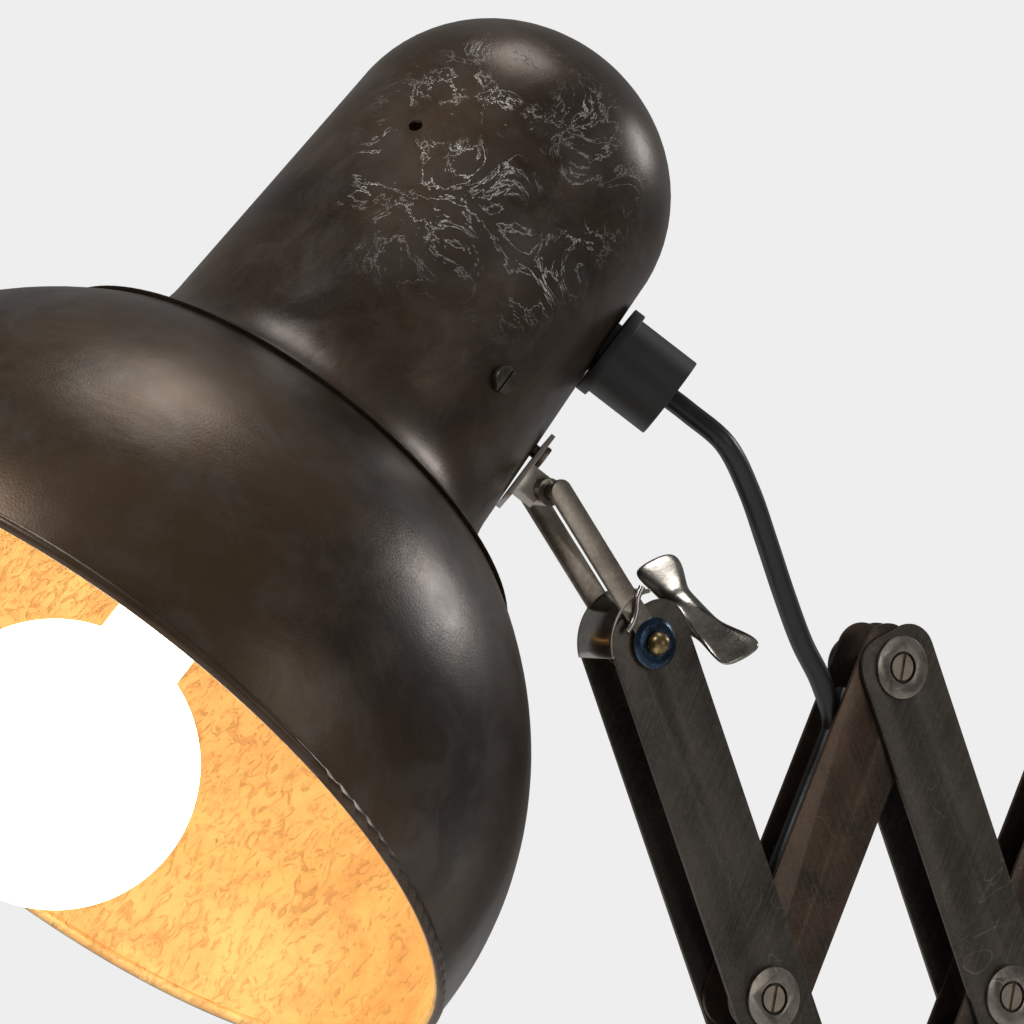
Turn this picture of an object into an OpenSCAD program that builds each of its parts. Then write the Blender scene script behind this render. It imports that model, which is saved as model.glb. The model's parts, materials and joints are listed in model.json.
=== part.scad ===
// Clamp-on desk lamp: a metal shade and hood on a three-stage scissor arm that swivels on a clamped post.
// Millimetres, +Z up. Origin: the clamp's desk face, on the post's axis. The arm reaches out along -X.

/* [Arm] */
// distance between the end pivots of a bar
bar_pitch = 210; // [190:1:230]
// slope of the bars from the horizontal in the rest pose
bar_slope = 65.6; // [62:0.2:68]
// length of the last outer bar above its crossing
tip_reach = 111; // [108:1:120]
// width of a bar
bar_w = 27; // [24:0.5:29]
// sheet thickness of a bar's plates
plate_t = 1.2; // [1:0.1:1.4]
// height of the lowest pivots above the desk
arm_z = 110; // [100:1:130]

/* [Shade and hood] */
// radius of the shade's widest ring
shade_r = 126; // [120:1:130]
// depth of the shade from its rim to the seam
shade_h = 107; // [102:1:110]
// radius of the hood above its flared foot
hood_r = 54; // [50:1:56]
// wall of the shade and the hood
wall_t = 1.2; // [0.8:0.1:1.6]
// tilt of the head's axis from the horizontal
head_tilt = 49; // [45:1:52]
// diameter of the globe bulb
bulb_d = 80; // [60:1:95]

/* [Post and clamp] */
// diameter of the hollow post
post_d = 14; // [13:0.5:15]
// thickness of the clamp's upper jaw
jaw_t = 8; // [6:0.5:10]
// width of the clamp across Y
clamp_w = 34; // [28:1:40]
// opening between the jaws
jaw_gap = 52; // [45:1:60]
// diameter of the clamp screw
screw_d = 10; // [8:0.5:11]

/* [Cord] */
// diameter of the mains cord
cord_d = 6.5; // [5.5:0.1:6.8]

/* [Hidden] */
$fn = 64;
run_fit = 0.06;     // radial clearance of a turning pin
ply_gap = 0.4;      // gap between the outer and inner plates
pin_r = 3;          // radius of the arm's pins
sleeve_r = 5;       // radius of the spacing sleeves
inner_y = 5.6;      // inside face of the inner plates
outer_y = inner_y + plate_t + ply_gap;   // inside face of the outer plates
face_y = outer_y + plate_t;              // outside face of the outer plates
ring_t = 1.2;
ring_r = 9.2;
end_reach = 11;     // plate end beyond its pivot
end_r = 9;          // corner radius of a plate end
base_x = -28;       // the arm's lowest pivots
half = bar_pitch / 2;
step_x = bar_pitch * cos(bar_slope);
step_z = bar_pitch * sin(bar_slope);
top_z = arm_z + step_z;
up_left = 180 - bar_slope;
down_left = 180 + bar_slope;
mid_x = base_x - 2.5 * step_x;
tilt_x = mid_x - tip_reach * cos(bar_slope);
tilt_z = arm_z + step_z / 2 + tip_reach * sin(bar_slope);

// the head: local Z along its axis from the rim, local X towards the arm
rim_back = 173.5;   // rim centre left of the tilt pivot
rim_drop = 34;      // rim centre below the tilt pivot
rim_y = 27;         // head axis behind the arm's middle plane
side_a = -26;       // azimuth of the clip and the cord gland round the hood
foot_r = hood_r + 15;
foot_h = 26;
hood_top = shade_h + 155;
dome_s = hood_top - 47;
dome_r = hood_r - 4;
clip_s = 149;
clip_rho = 62;
clip_up = 8.5;      // the clip's screw above its loop
gland_s = 196;
screw_s = 151;      // height of the two hood screws
screw_a = -78;      // azimuth of the first of them
gland_rho = 75;
holder_r = 20;
holder_s = 56;
bulb_r = bulb_d / 2;
bulb_s = 36 - bulb_r;
cap_s = 56;

// the post and the clamp
post_r = post_d / 2;
bore_r = post_r - 2.4;
socket_z = 22;
boss_r = post_r + 6;
boss_top = 60;
collar_h = 26;
post_top = arm_z + bar_pitch * 0.98 + 31;
screw_x = -22;
pad_z = -30;
handle_z = pad_z - 61;
low_jaw_t = 10;
tongue_y = 5.2;

// points the mains lead follows on the desk
cord_r = cord_d / 2;
coil_r = 44;
coil_x = -22 - coil_r;
coil_y = boss_r + 92;

function shade_at(s) = shade_r * sqrt(1 - pow((s - 10) / 117 * 107 / shade_h, 2));
function foot_at(s) = foot_r - 15 * sqrt(max(0, 1 - pow((shade_h + foot_h - s) / foot_h, 2)));
function hood_at(s) = hood_r - (hood_r - dome_r) * (s - shade_h - foot_h) / (dome_s - shade_h - foot_h);

// a child drawn in the bar's own frame: pivot at p, local X along the bar
module along(x, z, angle) {
    translate([x, 0, z]) rotate([0, -angle, 0]) children();
}

// a 2-D child (X, Z) made into a plate from y0 to y1
module slab(y0, y1) {
    translate([0, y1, 0]) rotate([90, 0, 0]) linear_extrude(y1 - y0) children();
}

// a cylinder along Y from y0 to y1
module rod_y(r, y0, y1) {
    translate([0, y0, 0]) rotate([-90, 0, 0]) cylinder(r = r, h = y1 - y0);
}

// outline of a bar's plate with rounded corners, from one end pivot to the other
module bar_outline(span) {
    inner_w = bar_w - 2 * end_r;
    reach = 2 * end_reach + span;
    translate([-end_reach + end_r, -bar_w / 2]) square([reach - 2 * end_r, bar_w]);
    translate([-end_reach, -inner_w / 2]) square([reach, inner_w]);
    for (x = [end_r - end_reach, span + end_reach - end_r], z = [-inner_w / 2, inner_w / 2])
        translate([x, z]) circle(r = end_r);
}

module bar_plate(span, stops, y0, hole_r) {
    difference() {
        slab(y0, y0 + plate_t) bar_outline(span);
        for (x = stops) translate([x, 0, 0]) rod_y(hole_r, y0 - 1, y0 + plate_t + 1);
    }
}

// the three outer bars rise to the left from the lower pivots, the inner bars fall to the left
function outer_x(k) = base_x - (k - 1) * step_x;
function outer_span(k) = k == 3 ? half + tip_reach : bar_pitch;
function inner_span(k) = k == 3 ? half : bar_pitch;
function outer_stops(k) = [0, half, outer_span(k)];
function inner_stops(k) = [for (i = [0 : 2]) if (i * half <= inner_span(k)) i * half];

module outer_front(k) {
    color("#5b5650") along(outer_x(k), arm_z, up_left)
        bar_plate(outer_span(k), outer_stops(k), -face_y, pin_r);
}

module outer_rear(k) {
    color("#5b5650") along(outer_x(k), arm_z, up_left)
        bar_plate(outer_span(k), outer_stops(k), outer_y, pin_r);
}

// the pins are pressed in the outer plates and headed outside their rings
function pin_stops(k) = k == 3 ? [0, half] : [0, half, bar_pitch];

module outer_pins(k) {
    color("#8a7f72") along(outer_x(k), arm_z, up_left)
        for (x = pin_stops(k)) translate([x, 0, 0]) difference() {
            union() {
                rod_y(pin_r, -face_y - 1, face_y + 1);
                rod_y(pin_r + 0.8, -face_y - 1, -face_y);
                rod_y(pin_r + 0.8, face_y, face_y + 1);
            }
            rotate([0, 35, 0]) translate([-6, -face_y - 2, -0.6]) cube([12, 1.7, 1.2]);
        }
}

module outer_rings(k) {
    color("#7d766c") along(outer_x(k), arm_z, up_left)
        for (x = pin_stops(k), y = [-face_y - ring_t, face_y]) translate([x, 0, 0]) difference() {
            rod_y(ring_r, y, y + ring_t);
            rod_y(pin_r + 1.6, y - 1, y + ring_t + 1);
        }
}

module inner_plate_at(k, y0) {
    color("#6a5c4c") along(outer_x(k), top_z, down_left)
        bar_plate(inner_span(k), inner_stops(k), y0, pin_r + run_fit);
}

module inner_front(k) {
    inner_plate_at(k, -inner_y - plate_t);
}

module inner_rear(k) {
    inner_plate_at(k, inner_y);
}

// the first inner bar's top end pivots on the slider, which has its own tongue there
function sleeve_stops(k) = [for (x = inner_stops(k)) if (k > 1 || x > 0) x];

module inner_sleeves(k) {
    color("#8a7f72") along(outer_x(k), top_z, down_left)
        for (x = sleeve_stops(k)) translate([x, 0, 0]) difference() {
            rod_y(sleeve_r, -inner_y, inner_y);
            rod_y(pin_r + run_fit, -inner_y - 1, inner_y + 1);
        }
}

/* ---- the post, its collars and the slider ---- */

module spindle_tube() {
    color("#9a968e") difference() {
        translate([0, 0, socket_z]) cylinder(r = post_r, h = post_top - socket_z);
        translate([0, 0, socket_z - 1]) cylinder(r = bore_r, h = post_top - socket_z + 2);
        translate([0, 0, arm_z + 20]) rotate([0, -90, 0]) cylinder(r = cord_r + 0.4, h = post_r + 2);
    }
}

module spindle_cap() {
    color("#3a3632") {
        translate([0, 0, post_top]) cylinder(r = post_r + 1, h = 4);
        translate([0, 0, post_top - 8]) cylinder(r = bore_r, h = 8);
    }
}

module stop_collar() {
    color("#6b675f") difference() {
        translate([0, 0, boss_top + 0.3]) cylinder(r = post_r + 5, h = 12);
        translate([0, 0, boss_top]) cylinder(r = post_r, h = 14);
    }
}

// collar on the post with a tongue towards the arm
module collar_with_tongue(z, bore, tongue, pivot_bore) {
    difference() {
        union() {
            translate([0, 0, z - collar_h / 2]) cylinder(r = post_r + 4, h = collar_h);
            translate([base_x, -tongue, z - 9]) cube([-base_x, 2 * tongue, 18]);
            translate([base_x, 0, z]) rod_y(9, -tongue, tongue);
        }
        translate([0, 0, z - collar_h]) cylinder(r = bore, h = 2 * collar_h);
        translate([base_x, 0, z]) rod_y(pivot_bore, -tongue - 1, tongue + 1);
    }
}

module turret() {
    color("#55504a") collar_with_tongue(arm_z, post_r, outer_y - ply_gap, pin_r + run_fit);
}

module slider_block() {
    color("#55504a") collar_with_tongue(top_z, post_r + run_fit, tongue_y, pin_r);
}

module slider_pin() {
    color("#8a7f72") along(base_x, top_z, 0) {
        rod_y(pin_r, -inner_y - plate_t - 0.9, inner_y + plate_t + 0.9);
        rod_y(pin_r + 1.5, -inner_y - plate_t - 1.7, -inner_y - plate_t - 0.2);
        rod_y(pin_r + 1.5, inner_y + plate_t + 0.2, inner_y + plate_t + 1.7);
    }
}

/* ---- the clamp ---- */

module clamp_frame() {
    low_z = -jaw_gap - low_jaw_t;
    color("#4a4641") difference() {
        union() {
            translate([-45, -clamp_w / 2, 0]) cube([75, clamp_w, jaw_t]);
            translate([22, -clamp_w / 2, low_z]) cube([8, clamp_w, jaw_t - low_z]);
            translate([-36, -clamp_w / 2, low_z]) cube([66, clamp_w, low_jaw_t]);
            cylinder(r = boss_r, h = boss_top);
        }
        translate([0, 0, socket_z - 10]) cylinder(r = post_r - 1, h = 20);
        translate([0, 0, socket_z]) cylinder(r = post_r + run_fit, h = boss_top);
        translate([0, 0, socket_z - 5]) rod_y(cord_r + 0.6, 0, boss_r + 1);
        translate([screw_x, 0, low_z - 1]) cylinder(r = screw_d / 2 + run_fit, h = low_jaw_t + 2);
    }
}

module clamp_screw() {
    color("#8e8a83") difference() {
        union() {
            translate([screw_x, 0, pad_z - 55]) cylinder(r = screw_d / 2, h = 50.8);
            translate([screw_x, 0, pad_z - 5]) cylinder(r = 2.94, h = 3.8);
            translate([screw_x, 0, pad_z - 67]) cylinder(r = screw_d / 2 + 2, h = 12);
        }
        translate([screw_x, 0, handle_z]) rod_y(2.5, -20, 20);
    }
}

module clamp_handle() {
    color("#8e8a83") translate([screw_x, 0, handle_z]) {
        rod_y(2.5, -24, 24);
        rod_y(4, -28, -24);
        rod_y(4, 24, 28);
    }
}

module clamp_pad() {
    color("#6b675f") difference() {
        translate([screw_x, 0, pad_z - 4]) cylinder(r = 13, h = 4);
        translate([screw_x, 0, pad_z - 5]) cylinder(r = 3, h = 4);
    }
}

/* ---- the head ---- */

module in_head() {
    translate([tilt_x - rim_back, rim_y, tilt_z - rim_drop]) rotate([0, 90 - head_tilt, 0]) children();
}

// a child drawn on the hood's side: local X outwards, at height s and azimuth a
module on_side(s, a) {
    rotate([0, 0, a]) translate([0, 0, s]) children();
}

module shade() {
    steps = 32;
    outer = [for (i = [0 : steps]) let (s = shade_h * i / steps) [shade_at(s), s]];
    inner = [for (i = [steps : -1 : 0]) let (s = shade_h * i / steps) [shade_at(s) - wall_t, s]];
    color("#4b4038") in_head() {
        rotate_extrude($fn = 128) polygon(concat(outer, inner));
        rotate_extrude($fn = 128) translate([shade_at(0) - 0.6, 0.6]) circle(r = 1.8, $fn = 16);
    }
}

// a raised band just below the seam between the shade and the hood
module neck_bead() {
    low = shade_h - 4;
    high = shade_h - 1;
    color("#5a4c40") in_head() rotate_extrude($fn = 128) polygon([
        [shade_at(low) + 0.05, low], [shade_at(low) + 1.6, low + 0.5],
        [shade_at(high) + 1.6, high], [shade_at(high) + 0.05, high]
    ]);
}

module hood() {
    foot = [for (i = [0 : 8]) let (s = shade_h + 0.2 + (foot_h - 0.2) * i / 8) [foot_at(s), s]];
    dome = [for (i = [0 : 20]) let (a = 4.5 * i) [dome_r * cos(a), dome_s + 47 * sin(a)]];
    dome_in = [for (i = [20 : -1 : 0]) let (a = 4.5 * i)
        [(dome_r - wall_t) * cos(a), dome_s + (47 - wall_t) * sin(a)]];
    foot_in = [for (i = [8 : -1 : 0]) let (s = shade_h + 0.2 + (foot_h - 0.2) * i / 8)
        [foot_at(s) - wall_t, s]];
    color("#453b34") in_head() difference() {
        rotate_extrude($fn = 128) polygon(concat(foot, dome, dome_in, foot_in));
        on_side(gland_s, side_a) rotate([0, 90, 0]) cylinder(r = 8.1, h = 70);
        on_side(gland_s, side_a - 125) rotate([0, 90, 0]) cylinder(r = 2, h = 70);
        for (i = [0, 1]) on_side(screw_s, screw_a + 180 * i) rotate([0, 90, 0]) cylinder(r = 2, h = 70);
        on_side(clip_s + clip_up, side_a) rotate([0, 90, 0]) cylinder(r = 2, h = 70);
    }
}

module hood_screws() {
    r = hood_at(screw_s);
    color("#9b917f") in_head() for (i = [0, 1])
        on_side(screw_s, screw_a + 180 * i) rotate([0, 90, 0]) difference() {
        union() {
            translate([0, 0, r - 8]) cylinder(r = 1.95, h = 9);
            translate([0, 0, r + 0.4]) cylinder(r = 3.9, h = 1.8);
        }
        translate([-5, -0.5, r + 1.3]) cube([10, 1, 2]);
    }
}

module gland() {
    r = hood_at(gland_s);
    color("#2c2825") in_head() on_side(gland_s, side_a) rotate([0, 90, 0]) difference() {
        union() {
            translate([0, 0, r - 10]) cylinder(r = 8, h = 14);
            translate([0, 0, r + 0.9]) cylinder(r = 14, h = 3.5);
            translate([0, 0, r + 4.4]) cylinder(r = 12.5, h = gland_rho - r - 4.4);
            translate([0, 0, r - 8]) cylinder(r = 12, h = 5, $fn = 6);
        }
        translate([0, 0, r - 12]) cylinder(r = cord_r, h = 60);
    }
}

module cord_in_hood() {
    r = hood_at(gland_s);
    color("#1d1a18") in_head() on_side(gland_s, side_a) rotate([0, 90, 0])
        translate([0, 0, r - 34]) cylinder(r = cord_r - 0.05, h = gland_rho - r + 34);
}

plate_in = hood_at(clip_s) + 0.8;    // inside of the clip's plate

// a folded strip on the hood whose loop holds the link's cross rod
module clip() {
    color("#8f8478") in_head() on_side(clip_s, side_a) difference() {
        union() {
            translate([plate_in, -7, -9]) cube([1.4, 14, 22]);
            translate([plate_in, -2.5, -5]) cube([clip_rho - plate_in, 5, 9]);
            translate([clip_rho, 0, 0]) rotate([0, 0, -side_a]) rod_y(4, -4, 4);
        }
        translate([clip_rho, 0, 0]) rotate([0, 0, -side_a]) rod_y(2.1, -10, 10);
        translate([0, 0, clip_up]) rotate([0, 90, 0]) cylinder(r = 2, h = 70);
    }
}

module clip_screw() {
    r = hood_at(clip_s + clip_up);
    color("#9b917f") in_head() on_side(clip_s + clip_up, side_a) rotate([0, 90, 0]) {
        translate([0, 0, r - 6]) cylinder(r = 1.95, h = 8.4);
        translate([0, 0, plate_in + 1.5]) cylinder(r = 3.4, h = 1.6);
    }
}

// the link from the tilt pivot to the clip: two straps, a wall round the bar's end and a cross rod
clip_out = clip_rho * cos(side_a);
link_x = clip_out * sin(head_tilt) + clip_s * cos(head_tilt) - rim_back;
link_z = clip_s * sin(head_tilt) - clip_out * cos(head_tilt) - rim_drop;
link_a = atan2(link_z, link_x);
link_len = norm([link_x, link_z]);
wall_r = bar_w / 2 + 0.9;
rear_y = outer_y - 0.6;

module link_strap(y0, y1, ear_r) {
    slab(y0, y1) difference() {
        union() {
            translate([0, -3.7]) square([link_len, 7.4]);
            circle(r = ear_r);
            translate([link_len, 0]) circle(r = 3.7);
            translate([wall_r - 1, -3.7]) square([4, 7.4]);
        }
        circle(r = 3);
    }
}

module link() {
    front_y = -face_y - 0.4;
    color("#7c7063") along(tilt_x, tilt_z, link_a) {
        link_strap(front_y - 1.2, front_y, 7);
        link_strap(rear_y - 1.4, rear_y, 7);
        slab(front_y - 1.2, rear_y) difference() {
            circle(r = wall_r + 1.2);
            circle(r = wall_r);
            rotate(-31) translate([-30, -30]) square([60, 30]);
            rotate(69) square([40, 40]);
            translate([-40, -20]) square([40, 60]);
        }
        translate([link_len, 0, 0]) rod_y(2, front_y - 0.6, rear_y);
    }
}

module pivot_bolt() {
    y_head = -face_y - 2.8;
    color("#a08c63") along(tilt_x, tilt_z, 0) {
        rod_y(pin_r, y_head, face_y + 1);
        rod_y(6, -outer_y + 0.2, rear_y - 1.4);
        intersection() {
            translate([0, y_head, 0]) sphere(r = 3.5, $fn = 32);
            rod_y(4, y_head - 4, y_head);
        }
        rod_y(5.2, face_y + 0.3, face_y + 3.2);
    }
}

module spring_washer() {
    color("#2d3440") along(tilt_x, tilt_z, 0) difference() {
        translate([0, -face_y - 1.6, 0]) rotate([90, 0, 0]) cylinder(r1 = 7.5, r2 = 6, h = 1.1);
        rod_y(3.05, -20, 0);
    }
}

// the lock screw bears on the bolt's barrel through a block between the last bar's plates
lock_a = 90 - bar_slope;
hub_out = bar_w / 2 + 1.7;

module screw_block() {
    color("#6b675f") along(tilt_x, tilt_z, lock_a) difference() {
        translate([bar_w / 2 - 6.5, -outer_y, -5]) cube([6, 2 * outer_y - 2.4, 10]);
        rotate([0, 90, 0]) cylinder(r = 3, h = 20);
    }
}

module wing_screw() {
    color("#b9b4aa") along(tilt_x, tilt_z, lock_a) {
        translate([6.4, 0, 0]) rotate([0, 90, 0]) cylinder(r = 2.95, h = 12);
        translate([hub_out, 0, 0]) rotate([0, 90, 0]) cylinder(r = 5.5, h = 11);
        rotate([-45, 0, 0]) for (m = [0, 1]) mirror([0, 0, m]) translate([hub_out + 8, 0, 0])
            slab(-1.6, 1.6) {
                translate([-4, 0]) square([8, 12]);
                translate([0, 13]) circle(r = 7);
            }
    }
}

module lampholder() {
    color("#d8cfbd") in_head() difference() {
        union() {
            translate([0, 0, holder_s]) cylinder(r = holder_r, h = 52);
            translate([0, 0, holder_s + 52]) cylinder(r = 12, h = 14);
        }
        translate([0, 0, holder_s - 1]) cylinder(r = 13.4, h = 31);
        translate([0, 0, holder_s]) cylinder(r = 4, h = 80);
    }
}

module holder_collar() {
    color("#e6dcc6") in_head() difference() {
        union() {
            translate([0, 0, holder_s + 4]) cylinder(r = 36, h = 3);
            translate([0, 0, holder_s + 4]) cylinder(r = 24, h = 14);
        }
        translate([0, 0, holder_s]) cylinder(r = holder_r + 0.1, h = 30);
        for (a = [60, 240]) rotate([0, 0, a]) translate([30, -5, holder_s]) cube([10, 10, 10]);
    }
}

// a two-legged strap inside the neck that carries the lampholder
module holder_bracket() {
    z = holder_s + 52.2;
    leg_r = hood_at(screw_s) - wall_t - 1;
    color("#6d655b") in_head() difference() {
        union() {
            translate([0, 0, z]) cylinder(r = 20, h = 2);
            for (i = [0, 1]) rotate([0, 0, screw_a + 180 * i]) {
                translate([0, -7, z]) cube([leg_r, 14, 2]);
                translate([leg_r - 1.6, -7, z]) cube([1.6, 14, screw_s + 7 - z]);
            }
        }
        translate([0, 0, z - 1]) cylinder(r = 12.1, h = 4);
        for (i = [0, 1]) on_side(screw_s, screw_a + 180 * i) rotate([0, 90, 0]) cylinder(r = 2, h = 70);
    }
}

module bulb_glass() {
    color("#f4ead2") in_head() difference() {
        union() {
            translate([0, 0, bulb_s]) sphere(r = bulb_r, $fn = 64);
            translate([0, 0, bulb_s]) cylinder(r = 13, h = cap_s - bulb_s);
        }
        translate([0, 0, bulb_s]) sphere(r = bulb_r - 1, $fn = 64);
        translate([0, 0, bulb_s]) cylinder(r = 12, h = cap_s - bulb_s - 1);
    }
}

module bulb_cap() {
    color("#c9b26a") in_head() {
        translate([0, 0, cap_s]) cylinder(r = 13.2, h = 24);
        translate([0, 0, cap_s + 24]) cylinder(r = 5, h = 2.5);
    }
}

/* ---- the cord inside the arm, and the mains lead ---- */

cord_off = sleeve_r + cord_r + 0.4;

module bar_cord(x, z, angle, from, to, side) {
    color("#1d1a18") along(x, z, angle) translate([from, 0, side * cord_off])
        rotate([0, 90, 0]) cylinder(r = cord_r, h = to - from);
}

module cord_in_inner_3() {
    bar_cord(outer_x(3), top_z, down_left, 12, half - 12, -1);
}

module cord_in_outer_3() {
    bar_cord(outer_x(3), arm_z, up_left, 14, half - 16, -1);
}

module cord_in_inner_2() {
    bar_cord(outer_x(2), top_z, down_left, 14, bar_pitch - 14, 1);
}

module cord_in_outer_1() {
    bar_cord(outer_x(1), arm_z, up_left, 26, bar_pitch - 16, -1);
}

module cord_in_post() {
    color("#1d1a18") {
        translate([0, 0, socket_z + 2]) cylinder(r = cord_r, h = arm_z - socket_z + 18);
        translate([cord_r, 0, arm_z + 20]) rotate([0, -90, 0]) cylinder(r = cord_r, h = post_r + 6 + cord_r);
    }
}

module strain_relief() {
    color("#26221f") difference() {
        translate([0, 0, socket_z - 5]) rod_y(cord_r + 0.5, boss_r - 5, boss_r);
        translate([0, 0, socket_z - 5]) rod_y(cord_r + 0.05, 0, 60);
    }
    color("#26221f") difference() {
        translate([0, boss_r, socket_z - 5]) rotate([-90, 0, 0]) cylinder(r1 = 6, r2 = cord_r + 1, h = 24);
        translate([0, 0, socket_z - 5]) rod_y(cord_r + 0.05, 0, 60);
    }
}

// the lead's middle line: out of the relief, down to the desk and round to the coil
lead_line = [
    [0, boss_r - 8, 17], [0, boss_r + 10, 17], [0, boss_r + 26, 17], [0, boss_r + 38, 13],
    [-2, boss_r + 50, 7], [-6, boss_r + 62, 4], [-13, boss_r + 74, cord_r], [-22, boss_r + 86, cord_r]
];
sides = 10;

function unit(v) = v / norm(v);
function heading(p, i) = unit(p[min(i + 1, len(p) - 1)] - p[max(i - 1, 0)]);
function ring_at(p, i) = let (t = heading(p, i), u = unit(cross([0, 0, 1], t)), v = cross(t, u))
    [for (j = [0 : sides - 1]) p[i] + cord_r * (cos(36 * j) * u + sin(36 * j) * v)];

module swept(p) {
    n = len(p);
    points = [for (i = [0 : n - 1]) each ring_at(p, i)];
    walls = [for (i = [0 : n - 2], j = [0 : sides - 1]) let (k = (j + 1) % sides)
        [i * sides + j, (i + 1) * sides + j, (i + 1) * sides + k, i * sides + k]];
    ends = [[for (j = [0 : sides - 1]) j], [for (j = [sides - 1 : -1 : 0]) (n - 1) * sides + j]];
    polyhedron(points, concat(walls, ends), convexity = 8);
}

module mains_lead() {
    color("#1d1a18") swept(lead_line);
}

module mains_coil() {
    layers = 3;
    color("#1d1a18") translate([coil_x, coil_y, 0]) rotate_extrude($fn = 96) {
        for (i = [0 : layers - 1], j = [0 : 1])
            translate([coil_r - cord_r - i * cord_d * 0.96, cord_r + j * cord_d * 0.9])
                circle(r = cord_r, $fn = 24);
    }
}

module mains_plug() {
    color("#26221f") translate([coil_x, coil_y, 0]) {
        translate([-14, -6, 0]) cube([28, 20, 22]);
        translate([0, 14, 10]) rotate([-90, 0, 0]) cylinder(r1 = 8, r2 = 4, h = 11.4);
    }
}

module plug_pins() {
    color("#c9b26a") translate([coil_x, coil_y, 11])
        for (x = [-9.5, 9.5]) translate([x, 0, 0]) rod_y(2.4, -20, -6);
}

clamp_frame();
clamp_screw();
clamp_handle();
clamp_pad();
strain_relief();
mains_lead();
mains_coil();
mains_plug();
plug_pins();
spindle_tube();
spindle_cap();
stop_collar();
turret();
cord_in_post();
slider_block();
slider_pin();
outer_front(1);  // outer_1_front
outer_rear(1);  // outer_1_rear
outer_pins(1);  // outer_1_pins
outer_rings(1);  // outer_1_rings
outer_front(2);  // outer_2_front
outer_rear(2);  // outer_2_rear
outer_pins(2);  // outer_2_pins
outer_rings(2);  // outer_2_rings
outer_front(3);  // outer_3_front
outer_rear(3);  // outer_3_rear
outer_pins(3);  // outer_3_pins
outer_rings(3);  // outer_3_rings
inner_front(1);  // inner_1_front
inner_rear(1);  // inner_1_rear
inner_sleeves(1);  // inner_1_sleeves
inner_front(2);  // inner_2_front
inner_rear(2);  // inner_2_rear
inner_sleeves(2);  // inner_2_sleeves
inner_front(3);  // inner_3_front
inner_rear(3);  // inner_3_rear
inner_sleeves(3);  // inner_3_sleeves
cord_in_outer_1();
cord_in_inner_2();
cord_in_outer_3();
cord_in_inner_3();
screw_block();
wing_screw();
link();
pivot_bolt();
spring_washer();
clip();
clip_screw();
shade();
neck_bead();
hood();
hood_screws();
gland();
cord_in_hood();
lampholder();
holder_collar();
holder_bracket();
bulb_glass();
bulb_cap();
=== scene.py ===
"""Builds the visual model of a clamp-on scissor-arm desk lamp over its CAD frame."""
import json
import logging
import math
from dataclasses import dataclass, field
from enum import Enum

import bpy
from mathutils import Matrix, Vector


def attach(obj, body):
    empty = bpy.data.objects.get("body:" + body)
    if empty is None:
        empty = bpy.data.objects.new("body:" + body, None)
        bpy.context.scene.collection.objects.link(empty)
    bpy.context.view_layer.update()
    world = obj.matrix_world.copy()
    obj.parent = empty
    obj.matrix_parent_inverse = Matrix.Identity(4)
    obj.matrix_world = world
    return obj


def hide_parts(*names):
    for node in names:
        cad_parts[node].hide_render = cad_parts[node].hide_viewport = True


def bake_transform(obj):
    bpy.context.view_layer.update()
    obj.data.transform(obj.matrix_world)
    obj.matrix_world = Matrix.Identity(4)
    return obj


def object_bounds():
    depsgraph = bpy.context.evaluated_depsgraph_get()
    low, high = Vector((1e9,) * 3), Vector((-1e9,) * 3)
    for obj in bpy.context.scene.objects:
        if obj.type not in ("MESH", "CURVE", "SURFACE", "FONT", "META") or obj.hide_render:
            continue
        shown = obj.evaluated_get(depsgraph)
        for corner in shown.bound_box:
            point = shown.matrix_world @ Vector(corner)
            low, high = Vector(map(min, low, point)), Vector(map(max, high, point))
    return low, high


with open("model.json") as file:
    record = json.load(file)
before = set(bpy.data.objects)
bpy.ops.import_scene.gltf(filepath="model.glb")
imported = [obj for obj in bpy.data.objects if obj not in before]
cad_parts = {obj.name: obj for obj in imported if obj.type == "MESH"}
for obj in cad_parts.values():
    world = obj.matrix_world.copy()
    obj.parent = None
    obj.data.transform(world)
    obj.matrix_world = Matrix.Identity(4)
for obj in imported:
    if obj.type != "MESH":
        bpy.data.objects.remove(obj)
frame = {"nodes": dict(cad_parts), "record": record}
CAD_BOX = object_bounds()

LOG = logging.getLogger("lamp")
MM = 0.001

# The frame's own sizes, in millimetres, the same as the CAD source names them.
BAR_SLOPE = math.radians(65.6)
BAR_PITCH = 210.0
TIP_REACH = 111.0
BASE_X = -28.0
ARM_Z = 110.0
STEP_X = BAR_PITCH * math.cos(BAR_SLOPE)
STEP_Z = BAR_PITCH * math.sin(BAR_SLOPE)
TILT = Vector((
    BASE_X - 2.5 * STEP_X - TIP_REACH * math.cos(BAR_SLOPE), 0.0,
    ARM_Z + STEP_Z / 2 + TIP_REACH * math.sin(BAR_SLOPE),
))
RIM = TILT + Vector((-173.5, 27.0, -34.0))
HEAD_TURN = Matrix.Rotation(math.radians(41.0), 4, "Y")
CORD_R = 3.25


def head_point(x: float, y: float, s: float) -> Vector:
    """Takes a point of the head's own frame to the row frame, both in millimetres."""
    return RIM + HEAD_TURN @ Vector((x, y, s))


def side_point(azimuth: float, rho: float, s: float) -> Vector:
    """Gives the point of the head at an azimuth in degrees, a radius and a height."""
    a = math.radians(azimuth)
    return head_point(rho * math.cos(a), rho * math.sin(a), s)


class Slot(Enum):
    """Names for material slots, which no piece in this script is given."""

    CAST = "cast_steel"
    ARM = "arm_steel"
    RUBBER = "black_rubber"


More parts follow.
